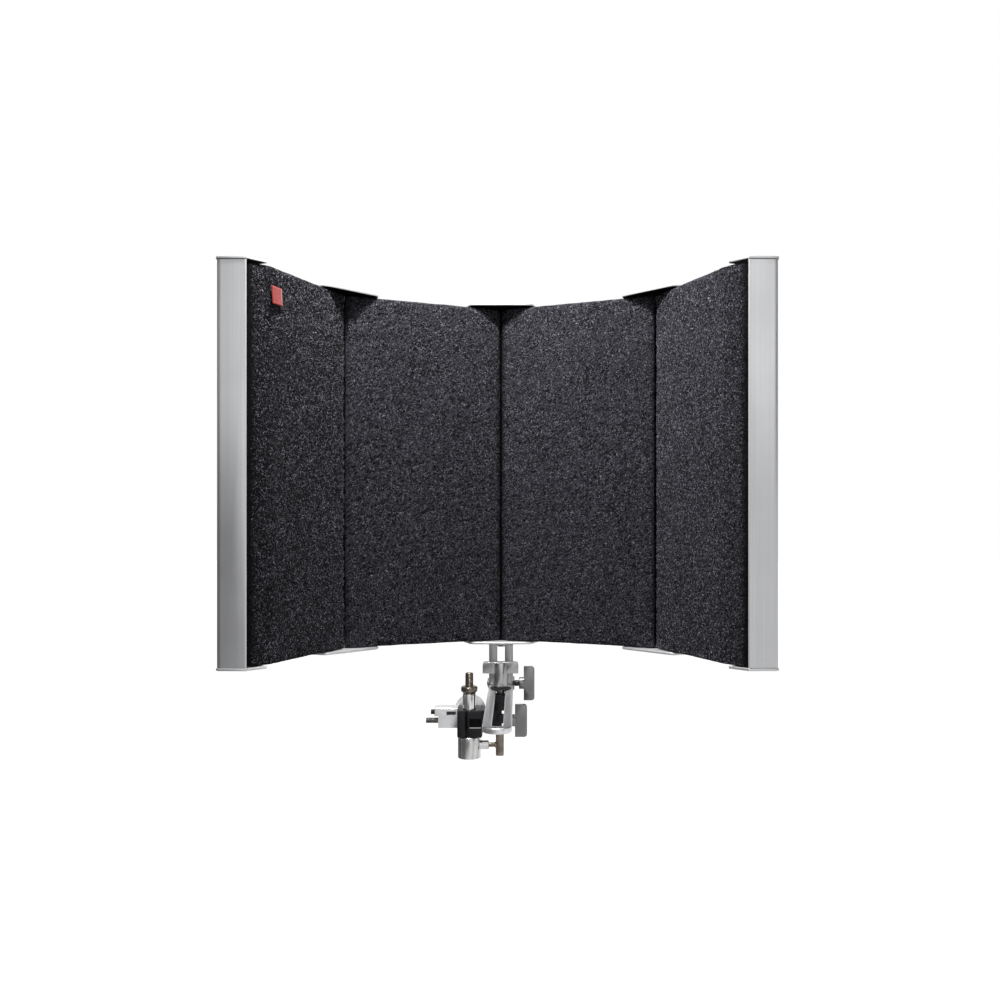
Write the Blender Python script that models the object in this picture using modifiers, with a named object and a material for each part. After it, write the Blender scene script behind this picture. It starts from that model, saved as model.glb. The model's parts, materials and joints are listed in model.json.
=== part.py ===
"""Microphone isolation shield: four felt-lined panels on a slotted arm and a post clamp.

The frame's origin is the centre of the mic stud's top face, +Z up, +Y from the mic to the shield.
All dimensions below are in millimetres and are turned into metres when the meshes are made.
"""

import math

import bmesh
import bpy
from mathutils import Matrix, Vector

MM = 0.001

# Shield envelope
SHIELD_X = 38.0          # the shield's mid-plane, to the right of the mic stud
FRONT_Y = -182.0         # front plane of the two end rails
BOTTOM_Z = 30.5          # underside of the bottom caps
HEIGHT = 425.0
CAP_T = 2.8
CENTRE_DEPTH = 226.0     # front plane to the centre corner
INNER_ANGLE = 22.5       # heading of the two inner panels
OUTER_ANGLE = 67.5       # heading of the two outer panels
INNER_LENGTH = 198.0
PANEL_Z0 = 3.2
PANEL_Z1 = HEIGHT - PANEL_Z0

# Panel layers, front face at t = 0
FELT = (0.0, 12.0)
FOIL = (12.3, 13.3)
CORE = (13.6, 23.6)
SHEET = (34.5, 36.0)
JOINT_GAP = 0.5          # each panel end stops short of its corner
FLARE_START = 138.0      # where the outer felt turns outward
OUTER_LAYER_END = 132.0
OUTER_SHEET_END = 152.0

# Caps and screws
CAP_REACH = 41.0
CAP_SCREW_V = 26.0
SCREW_R = 1.4
SCREW_HEAD_R = 3.4
SCREW_LENGTH = 12.0

# Tilt axis, arm and clamp
TILT_Y = 40.0
TILT_Z = -19.5
SWIVEL_Y = 4.0
ARM_TOP = -20.5
ARM_T = 6.0
ARM_HALF = 15.0
ARM_FRONT = -218.0
ARM_REAR = 31.0
SLOT_HALF = 6.0
SLOT_FRONT = -200.0
SLOT_REAR = 10.0
FORK_IN = 4.8
FORK_OUT = 15.0
CLAMP_TOP = -44.0
CLAMP_BOTTOM = -76.5
ROD_Y = 17.0
SCREW_Z = -61.5
ROD_R = 3.2
GUIDE_Z = -51.0
GUIDE_R = 3.0
POST_R = 8.0
THREAD_R = 4.75
SOCKET_R = 13.8
SOCKET_BORE = 10.0
SOCKET_TOP = -76.8
SOCKET_BOTTOM = -102.5
LOCK_Z = -87.5

FORK_BOLT_Y = FRONT_Y + 250.0
PIN_HOLE_R = 3.1         # holes for the tilt pin and the lock screw
FORK_PLATE_T = 3.0
JAW_X = -14.0            # left face of the moving jaw
JAW_W = 10.0
BLOCK_FRONT = -13.0      # front and rear faces shared by both jaws
BLOCK_REAR = 24.0
STUD_LENGTH = 25.0
POST_END = -80.5
ARM_KNOB_Z = -18.3
CLAMP_KNOB_X = 49.0

# Plain tag on the left outer panel, along the panel and above the bottom
TAG_S = 133.0
TAG_Z = 390.0
TAG_HALF = (9.0, 0.5, 10.0)

# Colours as (base colour, roughness, metallic)
FELT_LOOK = ((0.045, 0.044, 0.052), 1.0, 0.0)
FOIL_LOOK = ((0.75, 0.76, 0.78), 0.3, 1.0)
CORE_LOOK = ((0.20, 0.19, 0.18), 1.0, 0.0)
SHEET_LOOK = ((0.62, 0.63, 0.65), 0.38, 1.0)
PILLAR_LOOK = ((0.66, 0.67, 0.69), 0.32, 1.0)
LIGHT_ALLOY = ((0.80, 0.81, 0.83), 0.3, 1.0)
FORK_LOOK = ((0.42, 0.42, 0.43), 0.42, 1.0)
SCREW_LOOK = ((0.45, 0.45, 0.46), 0.35, 1.0)
CAST_LOOK = ((0.022, 0.022, 0.025), 0.45, 0.2)
RUBBER_LOOK = ((0.015, 0.015, 0.015), 0.6, 0.0)
COLLAR_LOOK = ((0.05, 0.05, 0.055), 0.4, 0.6)
ROD_LOOK = ((0.03, 0.03, 0.03), 0.5, 0.4)
CHROME_LOOK = ((0.85, 0.85, 0.86), 0.12, 1.0)
SOCKET_LOOK = ((0.62, 0.62, 0.63), 0.22, 1.0)
NICKEL_LOOK = ((0.32, 0.29, 0.25), 0.35, 1.0)
TAG_LOOK = ((0.55, 0.05, 0.04), 0.8, 0.0)


def clear_scene():
    for obj in list(bpy.data.objects):
        bpy.data.objects.remove(obj, do_unlink=True)


def new_collection(name):
    found = bpy.data.collections.new(name)
    bpy.context.scene.collection.children.link(found)
    return found


def material(name, colour, roughness, metallic):
    mat = bpy.data.materials.new(name)
    mat.use_nodes = True
    bsdf = mat.node_tree.nodes["Principled BSDF"]
    bsdf.inputs["Base Color"].default_value = (*colour, 1.0)
    bsdf.inputs["Roughness"].default_value = roughness
    bsdf.inputs["Metallic"].default_value = metallic
    mat.diffuse_color = (*colour, 1.0)
    return mat


def empty(name, location, parent=None):
    obj = bpy.data.objects.new(name, None)
    obj.empty_display_size = 0.02
    PARTS.objects.link(obj)
    if parent:
        obj.parent = parent
        obj.matrix_parent_inverse = parent_world(parent).inverted()
    obj.location = Vector(location) * MM
    return obj


def parent_world(obj):
    here = Matrix.Translation(obj.location) @ obj.rotation_euler.to_matrix().to_4x4()
    if obj.parent:
        return parent_world(obj.parent) @ obj.matrix_parent_inverse @ here
    return here


def add(name, bm, location, rotation, mat, parent, cutter=False):
    """A mesh object from bm, whose coordinates are millimetres about its own origin."""
    bmesh.ops.recalc_face_normals(bm, faces=bm.faces)
    for vert in bm.verts:
        vert.co *= MM
    mesh = bpy.data.meshes.new(name)
    bm.to_mesh(mesh)
    bm.free()
    obj = bpy.data.objects.new(name, mesh)
    obj.location = Vector(location) * MM
    obj.rotation_euler = rotation
    if mat:
        mesh.materials.append(mat)
    if cutter:
        CUTTERS.objects.link(obj)
        obj.hide_render = True
        obj.display_type = "WIRE"
    else:
        PARTS.objects.link(obj)
    if parent:
        obj.parent = parent
        obj.matrix_parent_inverse = parent_world(parent).inverted()
    return obj


def prism_mesh(outline, low, high):
    """A closed prism: the outline in XY, extruded from low to high along Z."""
    bm = bmesh.new()
    base = bm.faces.new([bm.verts.new((x, y, low)) for x, y in outline])
    raised = bmesh.ops.extrude_face_region(bm, geom=[base])["geom"]
    top = [item for item in raised if isinstance(item, bmesh.types.BMVert)]
    bmesh.ops.translate(bm, verts=top, vec=(0.0, 0.0, high - low))
    return bm


def box_mesh(low, high):
    bm = bmesh.new()
    bmesh.ops.create_cube(bm, size=1.0)
    for vert in bm.verts:
        for k in range(3):
            vert.co[k] = low[k] if vert.co[k] < 0 else high[k]
    return bm


def spun_mesh(profile, steps, closed):
    bm = bmesh.new()
    verts = [bm.verts.new((radius, 0.0, z)) for radius, z in profile]
    pairs = list(zip(verts, verts[1:]))
    if closed:
        pairs.append((verts[-1], verts[0]))
    edges = [bm.edges.new(pair) for pair in pairs]
    bmesh.ops.spin(bm, geom=verts + edges, cent=(0, 0, 0), axis=(0, 0, 1), angle=2 * math.pi,
                   steps=steps, use_merge=True)
    bmesh.ops.remove_doubles(bm, verts=bm.verts, dist=1e-4)
    return bm


def turned_mesh(profile, steps):
    """A closed turned solid about Z from (radius, z) points that start and end on the axis."""
    return spun_mesh(profile, steps, False)


def ring_mesh(profile, steps):
    """A closed ring about Z from a closed loop of (radius, z) points."""
    return spun_mesh(profile, steps, True)


def arc(cx, cy, radius, start, end, count):
    """Points of an arc, angles in degrees, both ends included."""
    turn = [math.radians(start + (end - start) * i / count) for i in range(count + 1)]
    return [(cx + radius * math.cos(a), cy + radius * math.sin(a)) for a in turn]


def boolean(obj, other, operation):
    mod = obj.modifiers.new(operation.lower(), "BOOLEAN")
    mod.operation = operation
    mod.solver = "EXACT"
    mod.object = other


def bevel(obj, width, segments=2, angle=30):
    mod = obj.modifiers.new("edge", "BEVEL")
    mod.width = width * MM
    mod.segments = segments
    mod.limit_method = "ANGLE"
    mod.angle_limit = math.radians(angle)


def smooth(obj):
    obj.data.shade_smooth()
    obj.data.set_sharp_from_angle(angle=math.radians(35))


ALONG_X = (0.0, math.radians(90), 0.0)
ALONG_Y = (math.radians(-90), 0.0, 0.0)
UPRIGHT = (0.0, 0.0, 0.0)


def cylinder_cut(name, location, rotation, radius, length, parent, steps=16):
    """A cutter cylinder, centred on its location."""
    half = length / 2
    profile = [(0.0, half), (radius, half), (radius, -half), (0.0, -half)]
    return add(name, turned_mesh(profile, steps), location, rotation, None, parent, True)


clear_scene()
PARTS = new_collection("microphone_isolation_shield")
CUTTERS = new_collection("cutters")
CUTTERS.hide_render = True

# Moving frames: clamp (root), swivel, arm, shield and jaw
root = empty("stand_clamp", (0, 0, 0))
swivel = empty("swivel", (SHIELD_X, SWIVEL_Y, ARM_TOP), root)
arm_frame = empty("arm", (SHIELD_X, SWIVEL_Y, ARM_TOP), swivel)
shield = empty("shield", (SHIELD_X, TILT_Y, TILT_Z), arm_frame)
jaw_frame = empty("jaw", (JAW_X, ROD_Y, SCREW_Z), root)


# Corners of the shield, seen from above
def corner(side, index):
    """World XY of corner 0 (centre) or 1 (between an inner and an outer panel)."""
    x = SHIELD_X
    y = FRONT_Y + CENTRE_DEPTH
    if index:
        x += side * INNER_LENGTH * math.cos(math.radians(INNER_ANGLE))
        y -= INNER_LENGTH * math.sin(math.radians(INNER_ANGLE))
    return x, y


def mirrored(outline, side):
    if side > 0:
        return outline
    return [(-x, y) for x, y in outline[::-1]]


def slab(start, end, layer):
    return [(start, layer[0]), (end, layer[0]), (end, layer[1]), (start, layer[1])]


def upright(name, outline, side, place, angle, mat, low=PANEL_Z0, high=PANEL_Z1):
    x, y = place
    rotation = (0.0, 0.0, math.radians(-side * angle))
    bm = prism_mesh(mirrored(outline, side), low, high)
    return add(name, bm, (x, y, BOTTOM_Z), rotation, mat, shield)


def inner_panel(side, word):
    place = corner(side, 0)
    end = INNER_LENGTH - JOINT_GAP
    layers = [
        ("felt", FELT, FELT_LOOK),
        ("foil", FOIL, FOIL_LOOK),
        ("core", CORE, CORE_LOOK),
        ("sheet", SHEET, SHEET_LOOK),
    ]
    for layer, extent, look in layers:
        name = f"{layer}_{word}_inner"
        outline = slab(JOINT_GAP, end, extent)
        upright(name, outline, side, place, INNER_ANGLE, material(name, *look))


def outer_panel(side, word):
    place = corner(side, 1)
    felt = [
        (JOINT_GAP, 0.0),
        (FLARE_START, 0.0),
        (165.8, 11.2),
        (161.9, 22.9),
        (134.0, 12.0),
        (JOINT_GAP, 12.0),
    ]
    name = f"felt_{word}_outer"
    upright(name, felt, side, place, OUTER_ANGLE, material(name, *FELT_LOOK))
    layers = [
        ("foil", FOIL, OUTER_LAYER_END, FOIL_LOOK),
        ("core", CORE, OUTER_LAYER_END, CORE_LOOK),
        ("sheet", SHEET, OUTER_SHEET_END, SHEET_LOOK),
    ]
    for layer, extent, end, look in layers:
        name = f"{layer}_{word}_outer"
        outline = slab(JOINT_GAP, end, extent)
        upright(name, outline, side, place, OUTER_ANGLE, material(name, *look))


for side, word in ((-1, "left"), (1, "right")):
    inner_panel(side, word)
    outer_panel(side, word)


# Corner pillars: a wedge between two panels, spacer ribs, rear flanges and a round back
HALF = math.radians(INNER_ANGLE)


def to_uv(s, t):
    """From the panel's own (s, t) to the corner's (u, v), v pointing straight back."""
    return s * math.cos(HALF) + t * math.sin(HALF), -s * math.sin(HALF) + t * math.cos(HALF)


def back_arc(tip, depth, count):
    """Arc from the tip over the back at (0, depth) to the mirrored tip."""
    u, v = tip
    centre = (depth * depth - u * u - v * v) / (2 * (depth - v))
    radius = depth - centre
    start = math.degrees(math.atan2(v - centre, u))
    return arc(0.0, centre, radius, start, 180.0 - start, count)


def corner_outline():
    right = [to_uv(-0.37, 6.5), to_uv(-0.37, 24.0), to_uv(10.0, 24.0), to_uv(10.0, 34.1)]
    right += [to_uv(-0.37, 34.1), to_uv(-0.37, 36.4), to_uv(10.0, 36.4)]
    back = back_arc(to_uv(10.0, 38.0), 45.0, 8)
    left = [(-u, v) for u, v in right[::-1]]
    return right + back + left


def corner_cap_outline():
    front = CAP_REACH * math.cos(HALF)
    depth = -CAP_REACH * math.sin(HALF)
    right = [(front - 7.0, depth), (front - 2.0, depth + 0.7), (front + 1.0, depth + 3.0)]
    right += [to_uv(CAP_REACH, 36.5), to_uv(CAP_REACH - 2.0, 38.5)]
    back = back_arc(to_uv(12.0, 38.9), 46.0, 8)
    left = [(-u, v) for u, v in right[::-1]]
    return right + back + left


def rail_outline():
    # the rail's outer front corner is rolled, its inner front corner only broken
    rolled = [(175.2, 30.6), (177.0, 34.9), (177.9, 37.3), (177.7, 39.0), (176.5, 40.4)]
    wall = [(173.0, 41.3), (148.0, 39.8), (148.0, 37.0), (154.0, 37.0)]
    inside = [(154.0, 27.0), (162.6, 24.6), (166.6, 12.0), (167.1, 10.9), (167.9, 11.1)]
    return rolled + wall + inside


def rail_cap_outline():
    front = [(144.0, 3.0), (145.4, 2.0), (166.3, 10.2), (168.4, 10.4)]
    side = [(178.4, 36.6), (178.6, 39.2), (177.2, 41.4), (173.6, 42.3)]
    return front + side + [(147.5, 41.0), (144.0, 39.0)]


def screw_holes(name, obj, x, y, radius, at_top, depth):
    """A blind screw hole in one end of an upright."""
    z = BOTTOM_Z + (HEIGHT - depth / 2 if at_top else depth / 2)
    boolean(obj, cylinder_cut(name, (x, y, z), UPRIGHT, radius, depth, shield, 12), "DIFFERENCE")


def pillar_set(word, outline, cap_outline, side, place, angle, screw_xy):
    """A pillar with its top and bottom caps and their screws."""
    name = f"pillar_{word}"
    pillar = upright(name, outline, side, place, angle, material(name, *PILLAR_LOOK))
    for at_top, end in ((True, "top"), (False, "bottom")):
        low = HEIGHT - CAP_T if at_top else 0.0
        name = f"cap_{end}_{word}"
        mat = material(name, *LIGHT_ALLOY)
        cap = upright(name, cap_outline, side, place, angle, mat, low, low + CAP_T)
        bolted = word == "centre" and not at_top
        hole_r = 3.2 if bolted else SCREW_R + 0.3
        x, y = (SHIELD_X, FORK_BOLT_Y) if bolted else screw_xy
        depth = 20.0 if bolted else 17.0
        screw_holes(f"cut_{end}_{word}", pillar, x, y, hole_r, at_top, depth)
        boolean(cap, bpy.data.objects[f"cut_{end}_{word}"], "DIFFERENCE")
        if bolted:
            continue
        sink = 2.0
        z = BOTTOM_Z + (HEIGHT - sink / 2 + 0.5 if at_top else sink / 2 - 0.5)
        spot = (x, y, z)
        radius = SCREW_HEAD_R + 0.4
        bore = cylinder_cut(f"sink_{end}_{word}", spot, UPRIGHT, radius, sink + 1.0, shield)
        boolean(cap, bore, "DIFFERENCE")
        under = -1.9
        tip = under - SCREW_LENGTH
        profile = [(0.0, -0.3), (2.4, -0.4), (SCREW_HEAD_R, -0.9), (SCREW_HEAD_R, under)]
        profile += [(SCREW_R, under), (SCREW_R, tip), (0.0, tip)]
        flip = 1 if at_top else -1
        z = BOTTOM_Z + (HEIGHT if at_top else 0.0)
        bm = turned_mesh([(r, h * flip) for r, h in profile], 12)
        name = f"screw_{end}_{word}"
        smooth(add(name, bm, (x, y, z), UPRIGHT, material(name, *SCREW_LOOK), shield))


def local_to_world(place, side, angle, point):
    x, y = place
    turn = math.radians(-side * angle)
    px, py = point[0] * side, point[1]
    return x + px * math.cos(turn) - py * math.sin(turn), y + px * math.sin(turn) + py * math.cos(turn)


middle = corner(1, 0)
screw_at = local_to_world(middle, 1, 0.0, (0.0, CAP_SCREW_V))
pillar_set("centre", corner_outline(), corner_cap_outline(), 1, middle, 0.0, screw_at)
for side, word in ((-1, "left"), (1, "right")):
    place = corner(side, 1)
    screw_at = local_to_world(place, side, 45.0, (0.0, CAP_SCREW_V))
    pillar_set(word, corner_outline(), corner_cap_outline(), side, place, 45.0, screw_at)
    screw_at = local_to_world(place, side, OUTER_ANGLE, (166.0, 31.0))
    pillar_set(f"{word}_end", rail_outline(), rail_cap_outline(), side, place, OUTER_ANGLE, screw_at)

tag_x, tag_y = local_to_world(corner(-1, 1), -1, OUTER_ANGLE, (TAG_S, -0.8))
bm = box_mesh([-half for half in TAG_HALF], TAG_HALF)
tag_turn = (0.0, 0.0, math.radians(OUTER_ANGLE))
tag_mat = material("fabric_tag", *TAG_LOOK)
add("fabric_tag", bm, (tag_x, tag_y, BOTTOM_Z + TAG_Z), tag_turn, tag_mat, shield)

# Tilt fork: base plate under the centre cap and two cheeks down to the tilt axis
TILT_AT = (SHIELD_X, TILT_Y, TILT_Z)
CHEEK_R = 7.0
plate_top = BOTTOM_Z - 0.3
rise = plate_top - TILT_Z
bm = box_mesh((-FORK_OUT, 5.5, rise - FORK_PLATE_T), (FORK_OUT, 38.0, rise))
fork = add("tilt_fork", bm, TILT_AT, UPRIGHT, material("tilt_fork", *FORK_LOOK), shield)
bevel(fork, 1.2, 1)
# a prism turned along X has its outline in (-z, y)
cheek = [(-rise, -CHEEK_R), (-rise, CHEEK_R)] + arc(0.0, 0.0, CHEEK_R, 90.0, -90.0, 8)
for side, word in ((-1, "left"), (1, "right")):
    low, high = (FORK_IN, FORK_OUT) if side > 0 else (-FORK_OUT, -FORK_IN)
    bm = prism_mesh(cheek, low, high)
    boolean(fork, add(f"cheek_{word}", bm, TILT_AT, ALONG_X, None, shield, True), "UNION")
cut = cylinder_cut("cut_fork_axis", TILT_AT, ALONG_X, PIN_HOLE_R, 60.0, shield)
boolean(fork, cut, "DIFFERENCE")
spot = (SHIELD_X, FORK_BOLT_Y, plate_top)
cut = cylinder_cut("cut_fork_bolt", spot, UPRIGHT, 3.2, 12.0, shield)
boolean(fork, cut, "DIFFERENCE")
profile = [(0.0, 18.0), (2.8, 18.0), (2.8, -3.6), (5.0, -3.6), (5.0, -7.0), (4.3, -7.6), (0.0, -7.6)]
spot = (SHIELD_X, FORK_BOLT_Y, BOTTOM_Z)
mat = material("fork_bolt", *SCREW_LOOK)
smooth(add("fork_bolt", turned_mesh(profile, 16), spot, UPRIGHT, mat, shield))

# Slotted arm with its tilt lug
ARM_AT = (SHIELD_X, SWIVEL_Y, ARM_TOP)
nose = arc(0.0, ARM_FRONT + ARM_HALF - SWIVEL_Y, ARM_HALF, 180.0, 360.0, 14)
outline = nose + [(ARM_HALF, ARM_REAR - SWIVEL_Y), (-ARM_HALF, ARM_REAR - SWIVEL_Y)]
bm = prism_mesh(outline, -ARM_T, 0.0)
arm = add("slotted_arm", bm, ARM_AT, UPRIGHT, material("slotted_arm", *LIGHT_ALLOY), arm_frame)
slot = arc(0.0, SLOT_FRONT - SWIVEL_Y, SLOT_HALF, 180.0, 360.0, 10)
slot += arc(0.0, SLOT_REAR - SWIVEL_Y, SLOT_HALF, 0.0, 180.0, 10)
cut = add("cut_slot", prism_mesh(slot, -10.0, 4.0), ARM_AT, UPRIGHT, None, arm_frame, True)
boolean(arm, cut, "DIFFERENCE")
bevel(arm, 0.8, 1, 50)
# the lug's outline is in (-z, y) too
LUG_HALF = 4.5
lug = [(6.6, -14.0), (1.6, -14.0), (-3.0, -8.0)] + arc(0.0, 0.0, 8.6, 250.0, 90.0, 10)
lug += [(6.6, 5.0)]
bm = prism_mesh(lug, -LUG_HALF, LUG_HALF)
boolean(arm, add("arm_lug", bm, TILT_AT, ALONG_X, None, arm_frame, True), "UNION")
cut = cylinder_cut("cut_lug_axis", TILT_AT, ALONG_X, PIN_HOLE_R, 12.0, arm_frame)
boolean(arm, cut, "DIFFERENCE")


# T-shaped clamping knobs
BAR_CORNER = 3.5


def t_knob(name, location, rotation, stem, hub, bar, colour, parent):
    """A knob along its own Z, with a flat cross bar on its hub.

    stem is (radius, length below 0), hub is (radius, height) and
    bar is (half width, half thickness, low, high).
    """
    profile = [(0.0, hub[1]), (hub[0], hub[1]), (hub[0], 0.8), (hub[0] - 0.8, 0.0), (stem[0], 0.0)]
    profile += [(stem[0], -stem[1]), (0.0, -stem[1])]
    mat = material(name, colour, 0.35, 1.0)
    knob = add(name, turned_mesh(profile, 20), location, rotation, mat, parent)
    half, thick, low, high = bar
    r = BAR_CORNER
    plate = [(-half, low), (half, low)] + arc(half - r, high - r, r, 0.0, 90.0, 4)
    plate += arc(-half + r, high - r, r, 90.0, 180.0, 4)
    bm = prism_mesh(plate, -thick, thick)
    upended = Matrix.Rotation(math.radians(90), 3, "X")
    bmesh.ops.rotate(bm, verts=bm.verts, cent=(0, 0, 0), matrix=upended)
    wing = add(f"wing_{name}", bm, location, rotation, None, parent, True)
    boolean(knob, wing, "UNION")
    smooth(knob)
    return knob


t_knob("arm_knob", (SHIELD_X, SWIVEL_Y, ARM_KNOB_Z), UPRIGHT, (4.5, 25.2), (8.5, 30.2),
       (21.8, 4.5, 17.2, 31.0), (0.62, 0.62, 0.63), swivel)
t_knob("tilt_knob", (SHIELD_X + 22.5, TILT_Y, TILT_Z), ALONG_X, (2.8, 40.2), (7.5, 6.5),
       (21.0, 4.5, 6.0, 19.4), (0.50, 0.50, 0.51), arm_frame)

# Washer and nut of the tilt pin, just off the fork's two cheeks
washer = [(3.2, 0.0), (8.5, 0.0), (8.5, 1.4), (3.2, 1.4)]
spot = (SHIELD_X + FORK_OUT + 0.3, TILT_Y, TILT_Z)
mat = material("tilt_washer", *RUBBER_LOOK)
add("tilt_washer", ring_mesh(washer, 20), spot, ALONG_X, mat, arm_frame)
nut = [(3.5, -1.5), (6.2, -1.5), (6.2, 0.0), (3.5, 0.0)]
spot = (SHIELD_X - FORK_OUT - 0.3, TILT_Y, TILT_Z)
add("tilt_nut", ring_mesh(nut, 6), spot, ALONG_X, material("tilt_nut", *SCREW_LOOK), arm_frame)

# Rubber washer over the arm, ribbed collar under it
washer = [(4.9, 0.1), (12.0, 0.1), (12.5, 0.6), (12.5, 1.9), (4.9, 1.9)]
mat = material("arm_washer", *RUBBER_LOOK)
smooth(add("arm_washer", ring_mesh(washer, 24), ARM_AT, UPRIGHT, mat, swivel))


def ribbed_outline(radius, depth, ribs):
    """The outline of a drum with square ribs."""
    points = []
    for i in range(ribs * 4):
        a = 2 * math.pi * i / (ribs * 4)
        r = radius if i % 4 < 2 else radius - depth
        points.append((r * math.cos(a), r * math.sin(a)))
    return points


bm = prism_mesh(ribbed_outline(12.0, 0.8, 20), -9.4, 0.0)
spot = (SHIELD_X, SWIVEL_Y, ARM_TOP - ARM_T - 0.3)
mat = material("swivel_collar", *COLLAR_LOOK)
collar = add("swivel_collar", bm, spot, UPRIGHT, mat, swivel)
boolean(collar, cylinder_cut("cut_collar", spot, UPRIGHT, 4.9, 30.0, swivel, 24), "DIFFERENCE")

# Clamp body: neck under the collar, bridge, and the fixed jaw round the post
bm = box_mesh((-2.2, BLOCK_FRONT, CLAMP_BOTTOM), (16.0, BLOCK_REAR, CLAMP_TOP))
body = add("clamp_body", bm, (0, 0, 0), UPRIGHT, material("clamp_body", *CAST_LOOK), root)
bevel(body, 1.6, 2)
neck_profile = [(0, -36.5), (11.0, -36.5), (11.0, -45.0), (0, -45.0)]
neck = [
    ("neck_top", turned_mesh(neck_profile, 24), (SHIELD_X, SWIVEL_Y, 0)),
    ("neck_block", box_mesh((26.0, -5.0, -66.5), (39.5, 15.0, -44.0)), (0, 0, 0)),
    ("neck_bridge", box_mesh((12.0, -4.0, -63.0), (30.0, 18.0, -45.0)), (0, 0, 0)),
]
for name, bm, spot in neck:
    boolean(body, add(name, bm, spot, UPRIGHT, None, root, True), "UNION")
profile = [(0.0, 6.0), (4.4, 6.0), (5.2, 5.0), (5.2, -5.0), (0.0, -5.0)]
bm = turned_mesh(profile, 16)
boolean(body, add("neck_boss", bm, (39.5, -6.0, -54.5), ALONG_Y, None, root, True), "UNION")
cut_post = cylinder_cut("cut_post", (0, 0, -60.0), UPRIGHT, POST_R + 0.4, 60.0, root, 24)
cut_stud = cylinder_cut("cut_stud", (SHIELD_X, SWIVEL_Y, -39.0), UPRIGHT, 5.1, 16.0, root)
spot = (-5.0, ROD_Y, SCREW_Z)
cut_screw = cylinder_cut("cut_screw_rod", spot, ALONG_X, ROD_R + 0.4, 110.0, root)
spot = (-20.0, ROD_Y, GUIDE_Z)
cut_guide = cylinder_cut("cut_guide_rod", spot, ALONG_X, GUIDE_R + 0.3, 66.0, root)
for cut in (cut_post, cut_stud, cut_screw, cut_guide):
    boolean(body, cut, "DIFFERENCE")
bm = box_mesh((0.8, -16.0, -65.0), (14.8, -9.6, -53.6))
cut_window = add("cut_window", bm, (0, 0, 0), UPRIGHT, None, root, True)
boolean(body, cut_window, "DIFFERENCE")

# Moving jaw and its carrier slide left along the two rods
JAW_AT = (JAW_X, ROD_Y, SCREW_Z)
low = (0.0, BLOCK_FRONT - ROD_Y, CLAMP_BOTTOM - SCREW_Z)
high = (JAW_W, BLOCK_REAR - ROD_Y, CLAMP_TOP - SCREW_Z)
mat = material("clamp_jaw", *CAST_LOOK)
jaw = add("clamp_jaw", box_mesh(low, high), JAW_AT, UPRIGHT, mat, jaw_frame)
bevel(jaw, 1.6, 2)
bm = box_mesh((-28.7, -13.0, 7.4), (-0.3, 9.0, 17.5))
mat = material("jaw_carrier", *LIGHT_ALLOY)
carrier = add("jaw_carrier", bm, JAW_AT, UPRIGHT, mat, jaw_frame)
bevel(carrier, 0.7, 1)
bm = box_mesh((-24.2, -13.0, -6.7), (-0.3, 9.0, 9.0))
lower = add("carrier_lower", bm, JAW_AT, UPRIGHT, None, jaw_frame, True)
boolean(carrier, lower, "UNION")
bm = box_mesh((-14.0, -16.0, 9.0), (-2.5, -8.5, 13.4))
slot = add("cut_carrier_slot", bm, JAW_AT, UPRIGHT, None, jaw_frame, True)
boolean(carrier, slot, "DIFFERENCE")
for obj in (jaw, carrier):
    boolean(obj, cut_screw, "DIFFERENCE")
    boolean(obj, cut_guide, "DIFFERENCE")
boolean(jaw, cut_post, "DIFFERENCE")

# Guide rod, clamp screw and the round plate behind the clamp
profile = [(0, 12.0), (GUIDE_R, 12.0), (GUIDE_R, -48.0), (0, -48.0)]
spot = (0, ROD_Y, GUIDE_Z)
mat = material("guide_rod", *ROD_LOOK)
smooth(add("guide_rod", turned_mesh(profile, 16), spot, ALONG_X, mat, root))
t_knob("clamp_knob", (CLAMP_KNOB_X, ROD_Y, SCREW_Z), ALONG_X, (ROD_R, 103.0), (7.5, 8.0),
       (19.6, 4.5, 6.5, 21.4), (0.45, 0.45, 0.46), root)
profile = [(0, 6.0), (19.0, 6.0), (19.0, 3.0), (5.0, 3.0), (5.0, 0.3), (0, 0.3)]
spot = (0, BLOCK_REAR, -50.0)
mat = material("clamp_disc", *LIGHT_ALLOY)
smooth(add("clamp_disc", turned_mesh(profile, 32), spot, ALONG_Y, mat, root))

# Mic post with its threaded stud, locking ring, stand socket and lock screw
ORIGIN = (0, 0, 0)
shoulder = -STUD_LENGTH
profile = [(0.0, 0.0), (THREAD_R - 0.8, 0.0), (THREAD_R, -0.8), (THREAD_R, shoulder)]
profile += [(POST_R - 0.6, shoulder), (POST_R, shoulder - 0.6), (POST_R, POST_END), (0.0, POST_END)]
mat = material("mic_post", *CHROME_LOOK)
smooth(add("mic_post", turned_mesh(profile, 24), ORIGIN, UPRIGHT, mat, root))
ring = [(5.1, -16.3), (8.6, -16.3), (10.0, -17.2), (10.0, -22.0), (7.4, -24.7), (5.1, -24.7)]
mat = material("post_nut", *NICKEL_LOOK)
smooth(add("post_nut", ring_mesh(ring, 24), ORIGIN, UPRIGHT, mat, root))
fit_r = POST_R + 0.3
floor_z = POST_END - 0.5
profile = [(0.0, floor_z), (fit_r, floor_z), (fit_r, SOCKET_TOP), (SOCKET_R - 0.8, SOCKET_TOP)]
profile += [(SOCKET_R, SOCKET_TOP - 0.8), (SOCKET_R, SOCKET_BOTTOM), (SOCKET_BORE, SOCKET_BOTTOM)]
profile += [(SOCKET_BORE, -84.0), (0.0, -84.0)]
mat = material("stand_socket", *SOCKET_LOOK)
socket = add("stand_socket", turned_mesh(profile, 32), ORIGIN, UPRIGHT, mat, root)
LOCK_AT = (0, 0, LOCK_Z)
profile = [(0.0, 23.9), (4.7, 23.9), (5.5, 23.1), (5.5, 12.0), (0.0, 12.0)]
boss = add("socket_boss", turned_mesh(profile, 8), LOCK_AT, ALONG_X, None, root, True)
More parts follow.
